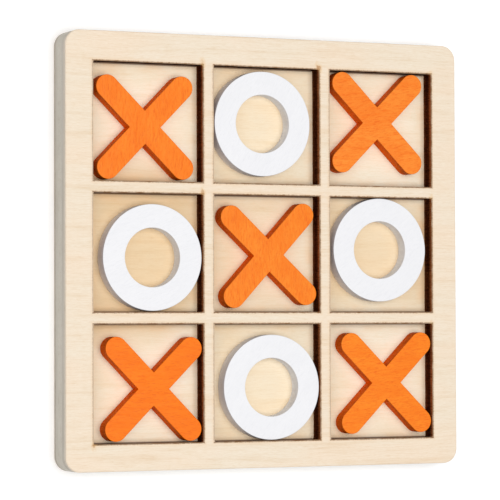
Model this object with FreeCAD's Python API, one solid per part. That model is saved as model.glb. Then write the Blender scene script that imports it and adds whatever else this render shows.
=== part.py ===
import FreeCAD, Part
import math
import os

os.makedirs("parts", exist_ok=True)

# A tic tac toe set: two sheets of three-ply plywood glued face to face, and nine loose
# playing pieces lying in the nine cells. Millimetres. The board lies flat with its face up.
# Origin: the middle of the underside. +X is right and +Y is up the board as it is read.

# The board
board_side = 130.0
board_corner_radius = 4.5
face_ply = 1.7              # outer plies of a 5 mm sheet
core_ply = 1.6              # the cross-grained ply between them
cells_per_side = 3
cell_side = 35.5
bar_width = 3.3
cell_corner_radius = 0.6    # left by the laser's turn at a corner
cells_drop = 0.45           # the nine cells are cut this far below the board's middle

# The playing pieces
piece_thickness = 4.5
stroke_width = 7.0          # width of a cross's arm and of a ring's band
cross_span = 40.8           # tip to tip along one arm
ring_diameter = 31.7

# Where each piece lies: cell column, cell row, shift right, shift up, turn in degrees
cross_places = {
    "cross_top_left": (-1, 1, -0.8, -1.6, 0.5),
    "cross_top_right": (1, 1, -0.9, 1.8, -0.2),
    "cross_centre": (0, 0, 0.8, -0.5, 2.1),
    "cross_bottom_left": (-1, -1, 1.8, -1.6, -0.4),
    "cross_bottom_right": (1, -1, 1.9, -0.6, 0.3),
}
ring_places = {
    "ring_top": (0, 1, -1.2, 0.5),
    "ring_left": (-1, 0, 1.5, -1.4),
    "ring_right": (1, 0, -0.3, 1.5),
    "ring_bottom": (0, -1, 1.6, -1.5),
}

# Worked out from the above
cell_pitch = cell_side + bar_width
sheet = 2 * face_ply + core_ply
floor_height = sheet        # the cell floor is the top of the base sheet
arm_half_width = stroke_width / 2
arm_end_centre = cross_span / 2 - arm_half_width


def arc_point(centre, radius, degrees):
    """The point of a level circle at one angle."""
    angle = math.radians(degrees)
    return centre + FreeCAD.Vector(radius * math.cos(angle), radius * math.sin(angle), 0)


def rounded_square(centre, side, radius, z):
    """A level square outline with its four corners rounded, as a wire."""
    reach = side / 2 - radius
    corners = []
    for corner, (x_sign, y_sign) in enumerate([(1, 1), (-1, 1), (-1, -1), (1, -1)]):
        middle = FreeCAD.Vector(centre[0] + x_sign * reach, centre[1] + y_sign * reach, z)
        start = 90 * corner
        corners.append([arc_point(middle, radius, start + step) for step in (0, 45, 90)])
    edges = []
    for corner, points in enumerate(corners):
        following = corners[(corner + 1) % 4]
        edges.append(Part.Arc(*points).toShape())
        edges.append(Part.LineSegment(points[2], following[0]).toShape())
    return Part.Wire(edges)


def cell_centre(column, row):
    """Middle of a cell; columns and rows run from -1 to 1."""
    return (column * cell_pitch, row * cell_pitch - cells_drop)


def ply(z, thickness, has_cells):
    """One ply of the board, whole or with the nine cells cut through it."""
    outline = rounded_square((0, 0), board_side, board_corner_radius, z)
    wires = [outline]
    if has_cells:
        steps = range(-(cells_per_side // 2), cells_per_side // 2 + 1)
        for row in steps:
            for column in steps:
                middle = cell_centre(column, row)
                wires.append(rounded_square(middle, cell_side, cell_corner_radius, z))
    level = Part.makeFace(wires, "Part::FaceMakerBullseye")
    return level.extrude(FreeCAD.Vector(0, 0, thickness))


def board():
    """The six plies, from the underside up, by node name."""
    layers = [
        ("base_back_ply", face_ply, False),
        ("base_core_ply", core_ply, False),
        ("base_floor_ply", face_ply, False),
        ("grid_back_ply", face_ply, True),
        ("grid_core_ply", core_ply, True),
        ("grid_face_ply", face_ply, True),
    ]
    plies = {}
    z = 0
    for name, thickness, has_cells in layers:
        plies[name] = ply(z, thickness, has_cells)
        z += thickness
    return plies


def cross():
    """One cross at the origin: two arms with round ends, at a right angle, as one outline."""
    origin = FreeCAD.Vector(0, 0, 0)
    edges = []
    first = None
    last = None
    for quarter in range(4):
        heading = 45 + 90 * quarter
        end_centre = arc_point(origin, arm_end_centre, heading)
        notch = arc_point(origin, arm_half_width * math.sqrt(2), heading - 45)
        end = [arc_point(end_centre, arm_half_width, heading + step) for step in (-90, 0, 90)]
        if last is None:
            first = notch
        else:
            edges.append(Part.LineSegment(last, notch).toShape())
        edges.append(Part.LineSegment(notch, end[0]).toShape())
        edges.append(Part.Arc(*end).toShape())
        last = end[2]
    edges.append(Part.LineSegment(last, first).toShape())
    outline = Part.Face(Part.Wire(edges))
    return outline.extrude(FreeCAD.Vector(0, 0, piece_thickness))


def ring():
    """One ring at the origin."""
    outer_radius = ring_diameter / 2
    disc = Part.makeCylinder(outer_radius, piece_thickness)
    hole = Part.makeCylinder(outer_radius - stroke_width, piece_thickness)
    return disc.cut(hole)


def laid(shape, column, row, right, up, turn=0):
    """A copy of a playing piece lying on the floor of its cell."""
    x, y = cell_centre(column, row)
    piece = shape.copy()
    piece.rotate(FreeCAD.Vector(0, 0, 0), FreeCAD.Vector(0, 0, 1), turn)
    piece.translate(FreeCAD.Vector(x + right, y + up, floor_height))
    return piece


def set_of_pieces():
    """All nine playing pieces in their cells, by node name."""
    pieces = {}
    for name, place in cross_places.items():
        pieces[name] = laid(cross(), *place)
    for name, place in ring_places.items():
        pieces[name] = laid(ring(), *place)
    return pieces


for name, shape in {**board(), **set_of_pieces()}.items():
    shape.exportStep("parts/" + name + ".step")
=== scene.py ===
"""Looks of a plywood tic tac toe set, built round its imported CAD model. Metres, in the row's frame."""

import math

import bmesh
import bpy
from mathutils import Matrix, Vector, geometry, noise


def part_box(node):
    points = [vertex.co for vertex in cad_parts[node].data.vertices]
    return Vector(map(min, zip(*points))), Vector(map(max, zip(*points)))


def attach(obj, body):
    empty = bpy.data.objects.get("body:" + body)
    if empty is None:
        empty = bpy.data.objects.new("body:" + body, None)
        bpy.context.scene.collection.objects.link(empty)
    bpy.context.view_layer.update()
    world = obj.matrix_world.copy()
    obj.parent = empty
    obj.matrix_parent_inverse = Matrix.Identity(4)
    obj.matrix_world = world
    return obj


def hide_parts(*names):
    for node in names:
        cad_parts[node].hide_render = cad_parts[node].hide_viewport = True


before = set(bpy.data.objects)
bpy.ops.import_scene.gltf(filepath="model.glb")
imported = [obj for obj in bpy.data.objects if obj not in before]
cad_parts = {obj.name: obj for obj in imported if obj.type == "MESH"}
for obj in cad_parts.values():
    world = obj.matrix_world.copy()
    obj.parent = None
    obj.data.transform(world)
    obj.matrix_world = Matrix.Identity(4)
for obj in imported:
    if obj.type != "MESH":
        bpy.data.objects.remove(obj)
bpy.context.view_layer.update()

MM = 0.001

# Sizes, as in the CAD model
cell_side = 35.5 * MM
bar_width = 3.3 * MM
board_corner_radius = 4.5 * MM
cell_corner_radius = 0.6 * MM
cells_drop = 0.45 * MM
stroke_width = 7.0 * MM

# How far each kind of edge is rounded. The windows' upper edges turn inwards by theirs instead,
# as window_outline says
board_edge_round = 0.45 * MM
window_edge_round = 0.16 * MM
piece_edge_round = 0.16 * MM

# The laser's cut wanders a little: how far, over what length, and the distance between points
cut_wander = 0.06 * MM
wander_length = 6.0 * MM
cut_step = 1.5 * MM
# The wander's two directions come from two layers of the same fixed noise
wander_across = Vector((0, 0, 3.7))
wander_up = Vector((0, 0, 11.3))

# Corners of a flat face that are closer than this, in metres, would be merged
fill_tolerance = 1e-9

# Colours are display values from 0 to 255. Veneer: pale wood, warm wood, tint of the late growth
face_tones = ((241, 228, 209), (243, 226, 205), (240, 228, 210))
# Painted light: the floor's tones are paler than the face's, to make up for the shade inside the cells
floor_tones_lightened = ((248, 239, 220), (248, 235, 212), (245, 236, 220))
edge_streak = (232, 226, 216)

# What the laser left on the face, the cells' floor and the cut walls, and the floor's warmer tint; the
# floor's smoke, soot and tint also hold painted shade
face_char = (84, 44, 20)
face_smoke = (236, 186, 124)
scorch_rim = (228, 184, 118)
scorch_middle = (164, 106, 58)
floor_warmth_and_shade = (239, 222, 200)
floor_smoke_and_shade = (244, 196, 144)
floor_soot_and_shade = (92, 54, 28)
cut_streak = (136, 112, 96)
cut_speck = (176, 116, 70)
cut_shade = (140, 116, 98)

# The cut wall of each grid ply, as (height from 0 to 1, colour)
cut_tones = {
    "grid_face_ply": [
        (0.0, (92, 52, 28)),
        (0.2, (136, 78, 46)),
        (0.55, (166, 98, 56)),
        (0.85, (190, 116, 60)),
        (1.0, (172, 98, 48)),
    ],
    "grid_core_ply": [
        (0.0, (58, 24, 10)),
        (0.25, (62, 26, 11)),
        (0.6, (72, 34, 16)),
        (1.0, (70, 36, 18)),
    ],
    "grid_back_ply": [
        (0.0, (140, 100, 66)),
        (0.22, (104, 62, 36)),
        (0.5, (76, 40, 22)),
        (1.0, (64, 30, 16)),
    ],
}

# The outer edge of each ply: its grain's turn in degrees, and its pale and dark wood, set darker and
# greyer than the face partly as painted shade on the board's sides, darkest on the back ply
edge_tones = {
    "edge_face_ply": (0, (216, 205, 191), (207, 196, 181)),
    "edge_core_ply": (90, (200, 193, 182), (190, 183, 171)),
    "edge_inner_ply": (0, (210, 204, 193), (202, 196, 184)),
    "edge_base_core": (90, (208, 202, 191), (200, 194, 182)),
    "edge_back_ply": (0, (190, 182, 171), (178, 170, 158)),
}

# The grain's direction on each piece, in degrees from the board's X axis
piece_grain = {
    "cross_top_left": 88,
    "cross_top_right": 4,
    "cross_centre": 93,
    "cross_bottom_left": -3,
    "cross_bottom_right": 2,
    "ring_top": 62,
    "ring_left": 24,
    "ring_right": 38,
    "ring_bottom": 50,
}

# Each cross's paint on top is a little different, and the sides are one darker orange
orange_paint = {
    "cross_top_left": (252, 136, 26),
    "cross_top_right": (252, 147, 48),
    "cross_centre": (250, 141, 34),
    "cross_bottom_left": (252, 128, 0),
    "cross_bottom_right": (252, 141, 28),
}
orange_thin = (244, 108, 2)
orange_pore = (230, 92, 0)
orange_side = (238, 100, 0)
orange_burnt = (160, 66, 12)
white_paint = (240, 240, 243)
white_thin = (229, 230, 234)
white_pore = (222, 222, 227)
# Painted light and shade: the rings' outer side is painted paler than their top, and their bore a little
# darker
white_side_lightened = (247, 244, 246)
white_side_burnt = (224, 210, 200)
white_bore_shaded = (232, 234, 240)
white_bore_burnt = (206, 196, 188)

# Where the laser scorched the face as it started or stopped a cut: the cell's column and row,
# which of its corners (right is 1, up is 1), the spot's radius in mm and its strength
scorches = [
    (-1, 1, 1, 1, 2.2, 0.8),
    (0, 1, 1, 1, 2.6, 1.0),
    (-1, 0, 1, 1, 2.2, 0.85),
    (1, 0, 1, 1, 1.5, 0.6),
    (1, -1, 1, 1, 1.4, 0.5),
    (1, 1, 1, 1, 1.6, 0.5),
    (-1, -1, -1, -1, 1.9, 0.9),
]

# Softboxes as (place, size, power, colour), the sky's light, and the table's own glow
softboxes = {
    "softbox_key": ((0.0, -0.02, 1.3), 0.85, 12.45, (1.0, 0.99, 0.975)),
    "softbox_left": ((-0.8, 0.05, 1.05), 0.7, 2.5, (1.0, 0.99, 0.985)),
}
sky_colour = (0.97, 0.985, 1.0, 1.0)
sky_strength = 0.3
table_side = 6.0
table_drop = 0.2 * MM
table_glow = 0.15

# Camera: the board is seen square on but for a turn to its left side
camera_yaw = -24.76
camera_pitch = -1.68
camera_roll = 0.19
camera_distance = 0.8172
camera_lens = 195.3
camera_aim = Vector((-5.76, 0.63, 0)) * MM

face_low, face_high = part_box("grid_face_ply")
board_side = face_high.x - face_low.x
cell_pitch = cell_side + bar_width
cell_steps = (-1, 0, 1)


# ---------------------------------------------------------------------------------------------
# Node materials
# ---------------------------------------------------------------------------------------------

def srgb(red, green, blue):
    """A linear colour with alpha, from display values of 0 to 255."""
    def linear(value):
        value /= 255
        return value / 12.92 if value <= 0.04045 else ((value + 0.055) / 1.055) ** 2.4
    return (linear(red), linear(green), linear(blue), 1.0)


class Nodes:
    """One material's node tree, with short ways to add what these materials need."""

    def __init__(self, name):
        self.material = bpy.data.materials.new(name)
        self.material.use_nodes = True
        self.tree = self.material.node_tree
        self.tree.nodes.clear()
        self.shader = self.add("ShaderNodeBsdfPrincipled")
        output = self.add("ShaderNodeOutputMaterial")
        self.tree.links.new(self.shader.outputs[0], output.inputs["Surface"])
        self.coordinates = self.add("ShaderNodeTexCoord").outputs["Object"]

    def add(self, kind, inputs=None, **settings):
        """A node; each input is a socket to link or a value to set."""
        made = self.tree.nodes.new(kind)
        for key, value in settings.items():
            setattr(made, key, value)
        for key, value in (inputs or {}).items():
            self.feed(made.inputs[key], value)
        return made

    def feed(self, socket, value):
        if isinstance(value, bpy.types.NodeSocket):
            self.tree.links.new(value, socket)
        else:
            socket.default_value = value

    def math(self, operation, a, b=0.0):
        return self.add("ShaderNodeMath", {0: a, 1: b}, operation=operation).outputs[0]

    def point(self, turn=0.0, shift=(0, 0, 0)):
        """The place on the surface in millimetres, with X along a grain turned by some degrees."""
        inputs = {
            "Vector": self.coordinates,
            "Location": shift,
            "Rotation": (0, 0, -math.radians(turn)),
            "Scale": (1 / MM, 1 / MM, 1 / MM),
        }
        return self.add("ShaderNodeMapping", inputs).outputs[0]

    def vector(self, operation, a, b):
        return self.add("ShaderNodeVectorMath", {0: a, 1: b}, operation=operation).outputs[0]

    def distance(self, a, b):
        return self.add("ShaderNodeVectorMath", {0: a, 1: b}, operation="DISTANCE").outputs["Value"]

    def split(self, vector):
        return self.add("ShaderNodeSeparateXYZ", {0: vector}).outputs

    def join(self, x=0.0, y=0.0, z=0.0):
        return self.add("ShaderNodeCombineXYZ", {0: x, 1: y, 2: z}).outputs[0]

    def noise(self, vector, stretch=(1, 1, 1), detail=3.0, roughness=0.5):
        """Noise from 0 to 1, with features about 1 mm wide divided by the stretch on each axis."""
        inputs = {
            "Vector": self.vector("MULTIPLY", vector, stretch),
            "Scale": 1.0,
            "Detail": detail,
            "Roughness": roughness,
        }
        return self.add("ShaderNodeTexNoise", inputs).outputs[0]

    def ease(self, value, low, high, at_low=0.0, at_high=1.0):
        """value eased from low..high to at_low..at_high and held beyond them."""
        inputs = {
            "Value": value,
            "From Min": low,
            "From Max": high,
            "To Min": at_low,
            "To Max": at_high,
        }
        return self.add("ShaderNodeMapRange", inputs, interpolation_type="SMOOTHSTEP").outputs[0]

    def mix(self, factor, a, b, blend="MIX"):
        made = self.add("ShaderNodeMix", data_type="RGBA", blend_type=blend)
        for socket, value in zip([made.inputs[0], made.inputs[6], made.inputs[7]], [factor, a, b]):
            self.feed(socket, value)
        return made.outputs[2]

    def ramp(self, factor, stops):
        """Colours blended along factor; stops are (position, colour)."""
        made = self.add("ShaderNodeValToRGB", {0: factor})
        elements = made.color_ramp.elements
        while len(elements) < len(stops):
            elements.new(0.5)
        for element, (position, colour) in zip(elements, stops):
            element.position = position
            element.color = colour
        return made.outputs[0]

    def bump(self, height, distance, strength=1.0):
        """Normals of a height from 0 to 1 that stands for some millimetres."""
        inputs = {"Height": height, "Distance": distance * MM, "Strength": strength}
        return self.add("ShaderNodeBump", inputs).outputs[0]

    def finish(self, colour, roughness, normal, specular=0.35):
        self.feed(self.shader.inputs["Base Color"], colour)
        self.feed(self.shader.inputs["Roughness"], roughness)
        self.feed(self.shader.inputs["Normal"], normal)
        self.shader.inputs["Specular IOR Level"].default_value = specular
        return self.material


def wood_figure(n, point, tones):
    """(colour, height) of pale rotary-cut veneer with its grain along the point's X.

    Of its three tones, the first two drift across the sheet, and the last tints the late growth.
    """
    pale, warm, streak = [srgb(*tone) for tone in tones]
    drift = n.noise(point, (0.018, 0.05, 0.05), detail=2)
    course = n.vector("ADD", point, n.join(y=n.math("MULTIPLY", drift, 5.0)))
    blotch = n.noise(point, (0.035, 0.09, 0.09), detail=3)
    band = n.noise(course, (0.03, 0.5, 0.5), detail=5, roughness=0.6)
    line = n.noise(course, (0.14, 2.4, 2.4), detail=4, roughness=0.6)
    fibre = n.noise(course, (0.6, 7.0, 7.0), detail=3)
    pore = n.noise(course, (1.0, 9.0, 9.0), detail=1)
    colour = n.mix(n.ease(blotch, 0.34, 0.68), pale, warm)
    colour = n.mix(n.ease(band, 0.46, 0.76, 0, 0.5), colour, streak, "MULTIPLY")
    colour = n.mix(n.ease(line, 0.42, 0.74, 0, 0.4), colour, streak, "MULTIPLY")
    colour = n.mix(n.ease(fibre, 0.35, 0.75, 0, 0.4), colour, streak, "MULTIPLY")
    colour = n.mix(n.ease(pore, 0.66, 0.78, 0, 0.8), colour, streak, "MULTIPLY")
    height = n.math("ADD", n.math("MULTIPLY", fibre, 0.6), n.math("MULTIPLY", line, 0.4))
    return colour, height


def window_place(n, point):
    """(across, up, gap): the place from the nearest cell's middle, and the distance outside its
    edge, all in millimetres. gap is negative inside the cell."""
    x, y, _ = n.split(n.vector("ADD", point, (0, cells_drop / MM, 0)))
    pitch = cell_pitch / MM
    offsets = []
    for value in (x, y):
        step = n.math("ROUND", n.math("DIVIDE", value, pitch))
        step = n.math("MINIMUM", n.math("MAXIMUM", step, -1.0), 1.0)
        offsets.append(n.math("SUBTRACT", value, n.math("MULTIPLY", step, pitch)))
    reach = n.math("MAXIMUM", *[n.math("ABSOLUTE", offset) for offset in offsets])
    return offsets[0], offsets[1], n.math("SUBTRACT", reach, cell_side / MM / 2)


def scorch_factor(n, point):
    """How strongly the face is scorched, from 0 to 1, round the spots in the list."""
    ragged = n.ease(n.noise(point, (1.1, 0.7, 1), detail=4), 0.3, 0.7, -0.5, 0.5)
    total = None
    for column, row, right, up, radius, strength in scorches:
        corner = cell_side / MM / 2
        x = column * cell_pitch / MM + right * (corner - 0.3)
        y = (row * cell_pitch - cells_drop) / MM + up * (corner + 0.35)
        offset = n.vector("MULTIPLY", n.vector("SUBTRACT", point, (x, y, 0)), (1.5, 1, 0))
        away = n.math("ADD", n.distance(offset, (0, 0, 0)), ragged)
        amount = n.ease(away, radius, 0.1 * radius, 0, strength)
        total = amount if total is None else n.math("MAXIMUM", total, amount)
    return total


def face_wood():
    """The board's bare face: pale veneer, with char along the windows and scorched corners.

    The char is fainter at a window's left edge and wider at its right one.
    """
    n = Nodes("veneer_face")
    point = n.point()
    colour, height = wood_figure(n, point, face_tones)
    across, up, gap = window_place(n, point)
    uneven = n.ease(n.noise(point, (0.5, 0.5, 0.5), detail=4), 0.3, 0.7, 0.7, 1.0)
    ragged = n.ease(n.noise(point, (2.2, 2.2, 2.2), detail=3), 0.3, 0.7, -0.08, 0.08)
    is_left = n.math("GREATER_THAN", n.math("MULTIPLY", across, -1), n.math("ABSOLUTE", up))
    is_right = n.math("GREATER_THAN", across, n.math("ABSOLUTE", up))
    burn_end = n.ease(is_right, 0, 1, 0.32, 0.5)
    burn_depth = n.ease(is_left, 0, 1, 1.0, 0.5)
    close = n.ease(n.math("ADD", gap, ragged), burn_end, 0.08)
    char = n.math("MULTIPLY", n.math("MULTIPLY", close, burn_depth), uneven)
    colour = n.mix(char, colour, srgb(*face_char))
    smoke = n.math("MULTIPLY", n.ease(gap, 1.2, 0.1, 0, 0.2), uneven)
    colour = n.mix(smoke, colour, srgb(*face_smoke))
    burnt = scorch_factor(n, point)
    colour = n.mix(n.math("MULTIPLY", burnt, 0.5), colour, srgb(*scorch_rim))
    colour = n.mix(n.ease(burnt, 0.6, 1.0, 0, 0.6), colour, srgb(*scorch_middle))
    roughness = n.ease(height, 0.3, 0.7, 0.56, 0.68)
    return n.finish(colour, roughness, n.bump(height, 0.035), specular=0.28)


def floor_wood():
    """The cells' floor: the base sheet's veneer, smoked near the walls and sooty at two of them, both
    partly painted shade.

    It is warmer in the middle row, more so towards the left, and in the middle column, and painted shade
    darkens the left part of each cell.
    """
    n = Nodes("veneer_floor")
    point = n.point(turn=0.6, shift=(210, 95, 0))
    colour, height = wood_figure(n, point, floor_tones_lightened)
    across, up, gap = window_place(n, n.point())
    cloud = n.ease(n.noise(point, (0.14, 0.2, 0.2), detail=3), 0.35, 0.65, 0.3, 1.0)
    x, y, _ = n.split(n.point())
    reach = n.ease(x, -36.0, -14.0, 10.0, 0.0)
    row = n.ease(n.math("SUBTRACT", n.math("ABSOLUTE", y), reach), 21.0, 9.0)
    along = n.math("MULTIPLY", n.ease(n.math("ABSOLUTE", x), 14, 28, 0.32, 1), n.ease(x, -20, 20, 1, 0.75))
    column = n.ease(n.math("ABSOLUTE", x), 21.0, 9.0, 0, 0.42)
    warm = n.math("MAXIMUM", n.math("MULTIPLY", row, along), column)
    # Painted shade: the floor is darkened and warmed over the left part of each cell
    warm = n.math("ADD", warm, n.ease(across, -2, -14, 0, 0.3))
    colour = n.mix(warm, colour, srgb(*floor_warmth_and_shade), "MULTIPLY")
    # Painted shade: the smoke near the walls is partly real smoke and partly the warm shade that falls by
    # the walls
    smoke = n.math("MULTIPLY", n.ease(gap, -4.0, 0.0, 0, n.ease(row, 0, 1, 0.4, 0.6)), cloud)
    colour = n.mix(smoke, colour, srgb(*floor_smoke_and_shade))
    # Painted shade: the dark band at the foot of the end walls is partly soot and partly the shade in the
    # crease
    is_end = n.math("GREATER_THAN", n.math("ABSOLUTE", up), n.math("ABSOLUTE", across))
    soot_and_shade = n.math("MULTIPLY", n.ease(gap, -0.6, -0.2), n.ease(is_end, 0, 1, 0.0, 0.85))
    colour = n.mix(soot_and_shade, colour, srgb(*floor_soot_and_shade))
    roughness = n.ease(height, 0.3, 0.7, 0.58, 0.7)
    return n.finish(colour, roughness, n.bump(height, 0.035), specular=0.25)


def edge_wood(name, turn, pale, dark):
    """The sanded outer edge of one ply, with its grain turned some degrees; its tones are darker and
    greyer than the face's, partly its own grey and partly painted shade.
    """
    n = Nodes(name)
    point = n.point(turn=turn, shift=(31, 57, 11))
    colour, height = wood_figure(n, point, (pale, dark, edge_streak))
    scuff = n.ease(n.noise(point, (0.3, 0.3, 1.2), detail=4), 0.45, 0.75, 0, 0.25)
    colour = n.mix(scuff, colour, srgb(*dark))
    return n.finish(colour, 0.66, n.bump(height, 0.05), specular=0.25)


def cut_wood(name, low, high, colours):
    """The laser-cut wall of one ply, charred, from its lower face to its upper one in mm."""
    n = Nodes(name)
    point = n.point()
    _, _, z = n.split(point)
    wave = n.noise(point, (0.35, 0.35, 0.6), detail=3)
    height = n.math("DIVIDE", n.math("SUBTRACT", z, low), high - low)
    level = n.math("ADD", height, n.ease(wave, 0.3, 0.7, -0.09, 0.09))
    colour = n.ramp(level, [(place, srgb(*tone)) for place, tone in colours])
    stroke = n.noise(point, (3.4, 3.4, 0.22), detail=4, roughness=0.65)
    colour = n.mix(n.ease(stroke, 0.42, 0.66, 0, 0.7), colour, srgb(*cut_streak), "MULTIPLY")
    speck = n.noise(point, (1.6, 1.6, 2.4), detail=3)
    colour = n.mix(n.ease(speck, 0.6, 0.72, 0, 0.3), colour, srgb(*cut_speck))
    across, up, _ = window_place(n, point)
    is_end = n.math("GREATER_THAN", n.math("ABSOLUTE", up), n.math("ABSOLUTE", across))
    colour = n.mix(n.math("MULTIPLY", is_end, 0.9), colour, srgb(*cut_shade), "MULTIPLY")
    roughness = n.ease(stroke, 0.3, 0.7, 0.55, 0.8)
    return n.finish(colour, roughness, n.bump(stroke, 0.05), specular=0.0)


def painted_wood(name, turn, shift, paint, thin, bare, grain_depth):
    """Matt paint brushed thinly over bare wood, so that the grain shows through it.

    thin is the paint over the grain's ridges, and bare its tint in the open pores.
    """
    paint, thin, bare = [srgb(*tone) for tone in (paint, thin, bare)]
    n = Nodes(name)
    point = n.point(turn=turn, shift=shift)
    drift = n.noise(point, (0.03, 0.08, 0.08), detail=2)
    course = n.vector("ADD", point, n.join(y=n.math("MULTIPLY", drift, 4.0)))
    blotch = n.noise(point, (0.08, 0.16, 0.16), detail=3)
    band = n.noise(course, (0.12, 0.9, 0.9), detail=4, roughness=0.6)
    fibre = n.noise(course, (0.5, 3.4, 3.4), detail=4, roughness=0.7)
    dash = n.noise(course, (0.6, 5.0, 5.0), detail=2)
    stipple = n.noise(point, (3.2, 3.2, 3.2), detail=2)
    colour = n.mix(n.ease(blotch, 0.36, 0.64, 0, grain_depth * 0.35), paint, thin)
    colour = n.mix(n.ease(band, 0.42, 0.72, 0, grain_depth * 0.35), colour, thin)
    colour = n.mix(n.ease(fibre, 0.42, 0.72, 0, grain_depth * 0.7), colour, thin)
    colour = n.mix(n.ease(stipple, 0.45, 0.75, 0, grain_depth * 0.45), colour, thin)
    colour = n.mix(n.ease(dash, 0.54, 0.68, 0, grain_depth * 0.7), colour, bare)
    height = n.math("ADD", n.math("MULTIPLY", fibre, 0.6), n.math("MULTIPLY", band, 0.4))
    roughness = n.ease(height, 0.35, 0.65, 0.42, 0.56)
    return n.finish(colour, roughness, n.bump(height, 0.05), specular=0.2)


def painted_cut(name, shift, paint, burnt, burn):
    """Paint over a laser-cut side: duller, streaked up and down, with char showing in patches.

    Known fault: z is the piece's own height, which never reaches foot, so low is 0.5 all the way
    up, and the char isn't stronger low down.
    """
    n = Nodes(name)
    point = n.point(shift=shift)
    _, _, z = n.split(n.point())
    stroke = n.noise(point, (2.2, 2.2, 0.25), detail=4, roughness=0.6)
    patch = n.noise(point, (0.16, 0.16, 0.35), detail=3)
    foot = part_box("ring_left")[0].z / MM
    low = n.ease(z, foot + 3.0, foot, 0.1, 0.5)
    char = n.math("MULTIPLY", n.ease(patch, 0.45, 0.68), low)
    char = n.math("ADD", char, n.ease(stroke, 0.45, 0.75, 0, 0.4))
    colour = n.mix(n.math("MULTIPLY", char, burn), srgb(*paint), srgb(*burnt))
    roughness = n.ease(stroke, 0.3, 0.7, 0.5, 0.66)
    return n.finish(colour, roughness, n.bump(stroke, 0.05), specular=0.03)


# ---------------------------------------------------------------------------------------------
# Outlines: each is a function of how far it is drawn in, and gives as many points every time
# ---------------------------------------------------------------------------------------------

def arc(centre, radius, start, sweep, steps):
    points = []
    for step in range(steps + 1):
        angle = math.radians(start + sweep * step / steps)
        points.append(Vector((centre[0] + radius * math.cos(angle), centre[1] + radius * math.sin(angle))))
    return points


def rounded_square(centre, side, radius, inset, steps=8, step_length=None):
    """A square with round corners, drawn in by inset, with points along its straight sides."""
    reach = side / 2 - radius
    count = max(1, round(2 * reach / step_length)) if step_length else 1
    corners = []
    for start, x_sign, y_sign in ((0, 1, 1), (90, -1, 1), (180, -1, -1), (270, 1, -1)):
        middle = (centre[0] + x_sign * reach, centre[1] + y_sign * reach)
        corners.append(arc(middle, radius - inset, start, 90, steps))
    points = []
    for corner, following in zip(corners, corners[1:] + corners[:1]):
        points += corner
        points += [corner[-1].lerp(following[0], step / count) for step in range(1, count)]
    return points


def wandering(points):
    """The same outline with the small wander of a laser's cut, which is the same on every run."""
    moved = []
    for p in points:
        place = Vector((p.x, p.y, 0)) / wander_length
        across, up = noise.noise(place + wander_across), noise.noise(place + wander_up)
        moved.append(Vector((p.x + across * cut_wander, p.y + up * cut_wander)))
    return moved


def board_outline(inset):
    return rounded_square((0, 0), board_side, board_corner_radius, inset, steps=16)


def window_outline(column, row):
    """The outline of one cell's window, which an inset widens.

    Known fault: wall gives a hole's inset as negative, so here the sign is turned twice. The
    window's upper edge is a lip turned inwards by window_edge_round, and is not rounded off.
    """
    centre = (column * cell_pitch, row * cell_pitch - cells_drop)

    def outline(inset):
        points = rounded_square(centre, cell_side, cell_corner_radius, -inset, 6, cut_step)
        return wandering(points)

    return outline


def circle_outline(radius, steps=128):
    """A circle that shrinks as it is drawn in; for a hole, the inset is given as negative."""
    return lambda inset: arc((0, 0), radius - inset, 0, 360 * (steps - 1) / steps, steps - 1)


def cross_outline(span):
    """A cross of two arms with round ends at a right angle, lying along the diagonals."""
    half_width = stroke_width / 2
    end_centre = span / 2 - half_width

    def outline(inset):
        width = half_width - inset
        points = []
        for heading in (45, 135, 225, 315):
            points += arc((0, 0), width * math.sqrt(2), heading - 45, 0, 1)[:1]
            middle = arc((0, 0), end_centre, heading, 0, 1)[0]
            points += arc(middle, width, heading - 90, 180, 28)
        return points

    return outline


# ---------------------------------------------------------------------------------------------
# Solids
# ---------------------------------------------------------------------------------------------

def edge_profile(low, high, low_round, high_round, steps=4):
    """(inset, z) down a wall whose upper and lower edges are rounded."""
    profile = []
    for radius, level, side in ((high_round, high, 1), (low_round, low, -1)):
        if radius == 0:
            profile.append((0.0, level))
            continue
        turn = []
        for step in range(steps + 1):
            angle = math.pi / 2 * step / steps
            turn.append((radius * (1 - math.sin(angle)), level - side * radius * (1 - math.cos(angle))))
        profile += turn if side == 1 else turn[::-1]
    return profile


def wall(mesh, outline, profile, sign, material):
    """A closed band of quads down one boundary, facing out of the piece; returns its two rims.

    The straight part takes the material, and the rounded edges keep the flat faces' own.
    """
    rims = []
    for inset, z in profile:
        rims.append([mesh.verts.new((p.x, p.y, z)) for p in outline(sign * inset)])
    for level, (upper, lower) in enumerate(zip(rims, rims[1:])):
        is_straight = profile[level][0] == profile[level + 1][0]
        for i, vertex in enumerate(upper):
            following = (i + 1) % len(upper)
            corners = (vertex, lower[i], lower[following], upper[following])
            quad = mesh.faces.new(corners[::sign])
            quad.material_index = material if is_straight else 0
    return rims[0], rims[-1]


def fill(mesh, rims, sign):
    """The flat face inside the first rim and outside the others, facing up or down by the sign.

    The triangles are the same ones on every run, and none of them crosses a hole.
    """
    corners = [vertex for rim in rims for vertex in rim]
    loops = []
    for rim in rims:
        start = sum(len(loop) for loop in loops)
        loops.append(list(range(start, start + len(rim))))
    places = [Vector((vertex.co.x, vertex.co.y)) for vertex in corners]
    made = geometry.delaunay_2d_cdt(places, [], loops, 0, fill_tolerance)
    triangles, origins, enclosing = made[2], made[3], made[5]
    for triangle, loops_round in zip(triangles, enclosing):
        if loops_round == [0]:
            mesh.faces.new([corners[origins[i][0]] for i in triangle][::sign])


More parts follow.
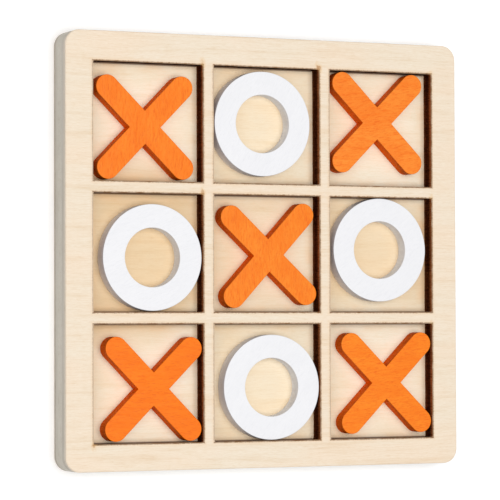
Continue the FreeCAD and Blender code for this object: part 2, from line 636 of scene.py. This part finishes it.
def solid(name, boundaries, materials, place=None):
    """A flat piece from its boundaries, each (outline, profile, sign, wall material index).

    The outer boundary comes first, with the sign 1, and each hole has the sign -1. The flat faces
    take the first material.
    """
    mesh = bmesh.new()
    rims = [wall(mesh, *boundary) for boundary in boundaries]
    fill(mesh, [upper for upper, _ in rims], 1)
    fill(mesh, [lower for _, lower in rims], -1)
    for face in mesh.faces:
        face.smooth = True
    data = bpy.data.meshes.new(name)
    mesh.to_mesh(data)
    mesh.free()
    for material in materials:
        data.materials.append(material)
    piece = bpy.data.objects.new(name, data)
    bpy.context.collection.objects.link(piece)
    if place is not None:
        piece.location, piece.rotation_euler.z = place
    data.set_sharp_from_angle(angle=math.radians(40))
    weighted = piece.modifiers.new("even shading", "WEIGHTED_NORMAL")
    weighted.keep_sharp = True
    return piece


def stand_for(piece, node, body):
    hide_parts(node)
    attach(piece, body)


# ---------------------------------------------------------------------------------------------
# The board
# ---------------------------------------------------------------------------------------------

def levels(node):
    """The lowest and highest z of a CAD node."""
    low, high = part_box(node)
    return low.z, high.z


def make_ply(node, materials, has_windows, low_round=0.0, high_round=0.0):
    """One ply of the board in place of its CAD node."""
    low, high = levels(node)
    profile = edge_profile(low, high, low_round, high_round)
    boundaries = [(board_outline, profile, 1, 1)]
    if has_windows:
        arris = window_edge_round if high_round else 0.0
        cut = edge_profile(low, high, 0.0, arris)
        for row in cell_steps:
            for column in cell_steps:
                boundaries.append((window_outline(column, row), cut, -1, 2))
    piece = solid(node.replace("ply", "veneer"), boundaries, materials)
    stand_for(piece, node, "board")


def make_board():
    face = face_wood()
    floor = floor_wood()
    edges = {name: edge_wood(name, *tones) for name, tones in edge_tones.items()}
    walls = {}
    for node, colours in cut_tones.items():
        low, high = levels(node)
        walls[node] = cut_wood("cut_" + node, low / MM, high / MM, colours)
    warm_edge, core_edge, plain_edge, base_core_edge, back_edge = edges.values()
    make_ply("base_back_ply", [face, back_edge], False, low_round=board_edge_round)
    make_ply("base_core_ply", [base_core_edge, base_core_edge], False)
    make_ply("base_floor_ply", [floor, plain_edge], False)
    make_ply("grid_back_ply", [plain_edge, plain_edge, walls["grid_back_ply"]], True)
    make_ply("grid_core_ply", [core_edge, core_edge, walls["grid_core_ply"]], True)
    face_materials = [face, warm_edge, walls["grid_face_ply"]]
    make_ply("grid_face_ply", face_materials, True, high_round=board_edge_round)


# ---------------------------------------------------------------------------------------------
# The playing pieces
# ---------------------------------------------------------------------------------------------

def middle_of(node):
    low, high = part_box(node)
    return Vector(((low.x + high.x) / 2, (low.y + high.y) / 2, low.z))


def arm_of(node):
    """(turn, span) of a cross from its CAD node: one arm's angle past 45 degrees, and its length."""
    middle = middle_of(node)
    ends = [v.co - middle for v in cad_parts[node].data.vertices]
    ends = [Vector((e.x, e.y)) for e in ends]
    span = 2 * max(e.length for e in ends)
    tip = [e for e in ends if e.x > 0 and e.y > 0 and e.length > 0.42 * span]
    heading = sum(tip, Vector((0, 0)))
    return math.atan2(heading.y, heading.x) - math.pi / 4, span


def make_cross(node, seed):
    low, high = levels(node)
    turn, span = arm_of(node)
    grain = piece_grain[node] - math.degrees(turn)
    shift = (37.0 * seed, 19.0 * seed, 0)
    paint = (orange_paint[node], orange_thin, orange_pore)
    top = painted_wood("orange_" + node, grain, shift, *paint, grain_depth=0.85)
    side = painted_cut("orange_side_" + node, shift, orange_side, orange_burnt, burn=0.7)
    profile = edge_profile(0, high - low, piece_edge_round, piece_edge_round)
    place = (middle_of(node), turn)
    boundaries = [(cross_outline(span), profile, 1, 1)]
    piece = solid(node.replace("cross", "x_piece"), boundaries, [top, side], place)
    stand_for(piece, node, node)


def make_ring(node, seed):
    low, high = levels(node)
    box_low, box_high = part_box(node)
    radius = (box_high.x - box_low.x) / 2
    shift = (41.0 * seed, 23.0 * seed, 0)
    paint = (white_paint, white_thin, white_pore)
    top = painted_wood("white_" + node, piece_grain[node], shift, *paint, grain_depth=0.4)
    side = painted_cut("white_side_lightened_" + node, shift, white_side_lightened, white_side_burnt, burn=0.4)
    bore = painted_cut("white_bore_shaded_" + node, shift, white_bore_shaded, white_bore_burnt, burn=0.6)
    profile = edge_profile(0, high - low, piece_edge_round, piece_edge_round)
    boundaries = [
        (circle_outline(radius), profile, 1, 1),
        (circle_outline(radius - stroke_width, 96), profile, -1, 2),
    ]
    piece = solid(node.replace("ring", "o_piece"), boundaries, [top, side, bore], (middle_of(node), 0.0))
    stand_for(piece, node, node)


def make_pieces():
    for seed, node in enumerate(piece_grain, start=1):
        make = make_cross if node.startswith("cross") else make_ring
        make(node, seed)


# ---------------------------------------------------------------------------------------------
# Floor, light and camera
# ---------------------------------------------------------------------------------------------

def make_floor():
    """A plain white table top under the board, softly lit from below as a light table is."""
    n = Nodes("table_white")
    point = n.point()
    soft = n.noise(point, (0.02, 0.02, 0.02), detail=2)
    colour = n.mix(n.ease(soft, 0.3, 0.7), srgb(250, 250, 250), srgb(247, 247, 248))
    material = n.finish(colour, 0.85, n.bump(soft, 0.01), specular=0.1)
    n.shader.inputs["Emission Color"].default_value = (1.0, 1.0, 1.0, 1.0)
    n.shader.inputs["Emission Strength"].default_value = table_glow
    bpy.ops.mesh.primitive_plane_add(size=table_side, location=(0, 0, -table_drop))
    floor = bpy.context.object
    floor.name = "table"
    floor.data.materials.append(material)


def make_light(name, place, size, power, colour):
    """A square softbox aimed at the board."""
    data = bpy.data.lights.new(name, "AREA")
    data.shape = "SQUARE"
    data.size = size
    data.energy = power
    data.color = colour
    light = bpy.data.objects.new(name, data)
    light.location = place
    light.rotation_euler = (-Vector(place)).to_track_quat("-Z", "Y").to_euler()
    bpy.context.collection.objects.link(light)


def make_lights():
    world = bpy.context.scene.world or bpy.data.worlds.new("studio")
    bpy.context.scene.world = world
    world.use_nodes = True
    background = world.node_tree.nodes["Background"]
    background.inputs["Color"].default_value = sky_colour
    background.inputs["Strength"].default_value = sky_strength
    for name, settings in softboxes.items():
        make_light(name, *settings)


def make_camera():
    """The photograph's view: a long lens, square on to the face but for a turn and a slight tilt."""
    data = bpy.data.cameras.new("camera")
    data.lens = camera_lens
    data.sensor_width = 36.0
    data.clip_start = 0.05
    data.clip_end = 20.0
    camera = bpy.data.objects.new("camera", data)
    yaw, pitch = math.radians(camera_yaw), math.radians(camera_pitch)
    away = Vector((math.sin(yaw) * math.cos(pitch), math.sin(pitch), math.cos(yaw) * math.cos(pitch)))
    camera.location = camera_aim + Vector((0, 0, face_high.z)) + away * camera_distance
    up = Vector((0, 1, 0)) - away * away.y
    up.normalize()
    right = up.cross(away)
    roll = math.radians(camera_roll)
    level_up, level_right = up, right
    up = level_up * math.cos(roll) + level_right * math.sin(roll)
    right = level_right * math.cos(roll) - level_up * math.sin(roll)
    axes = Matrix((right, up, away)).transposed()
    camera.rotation_euler = axes.to_euler()
    bpy.context.collection.objects.link(camera)
    bpy.context.scene.camera = camera


make_board()
make_pieces()
make_floor()
make_lights()
make_camera()
bpy.context.scene.view_settings.view_transform = "Standard"
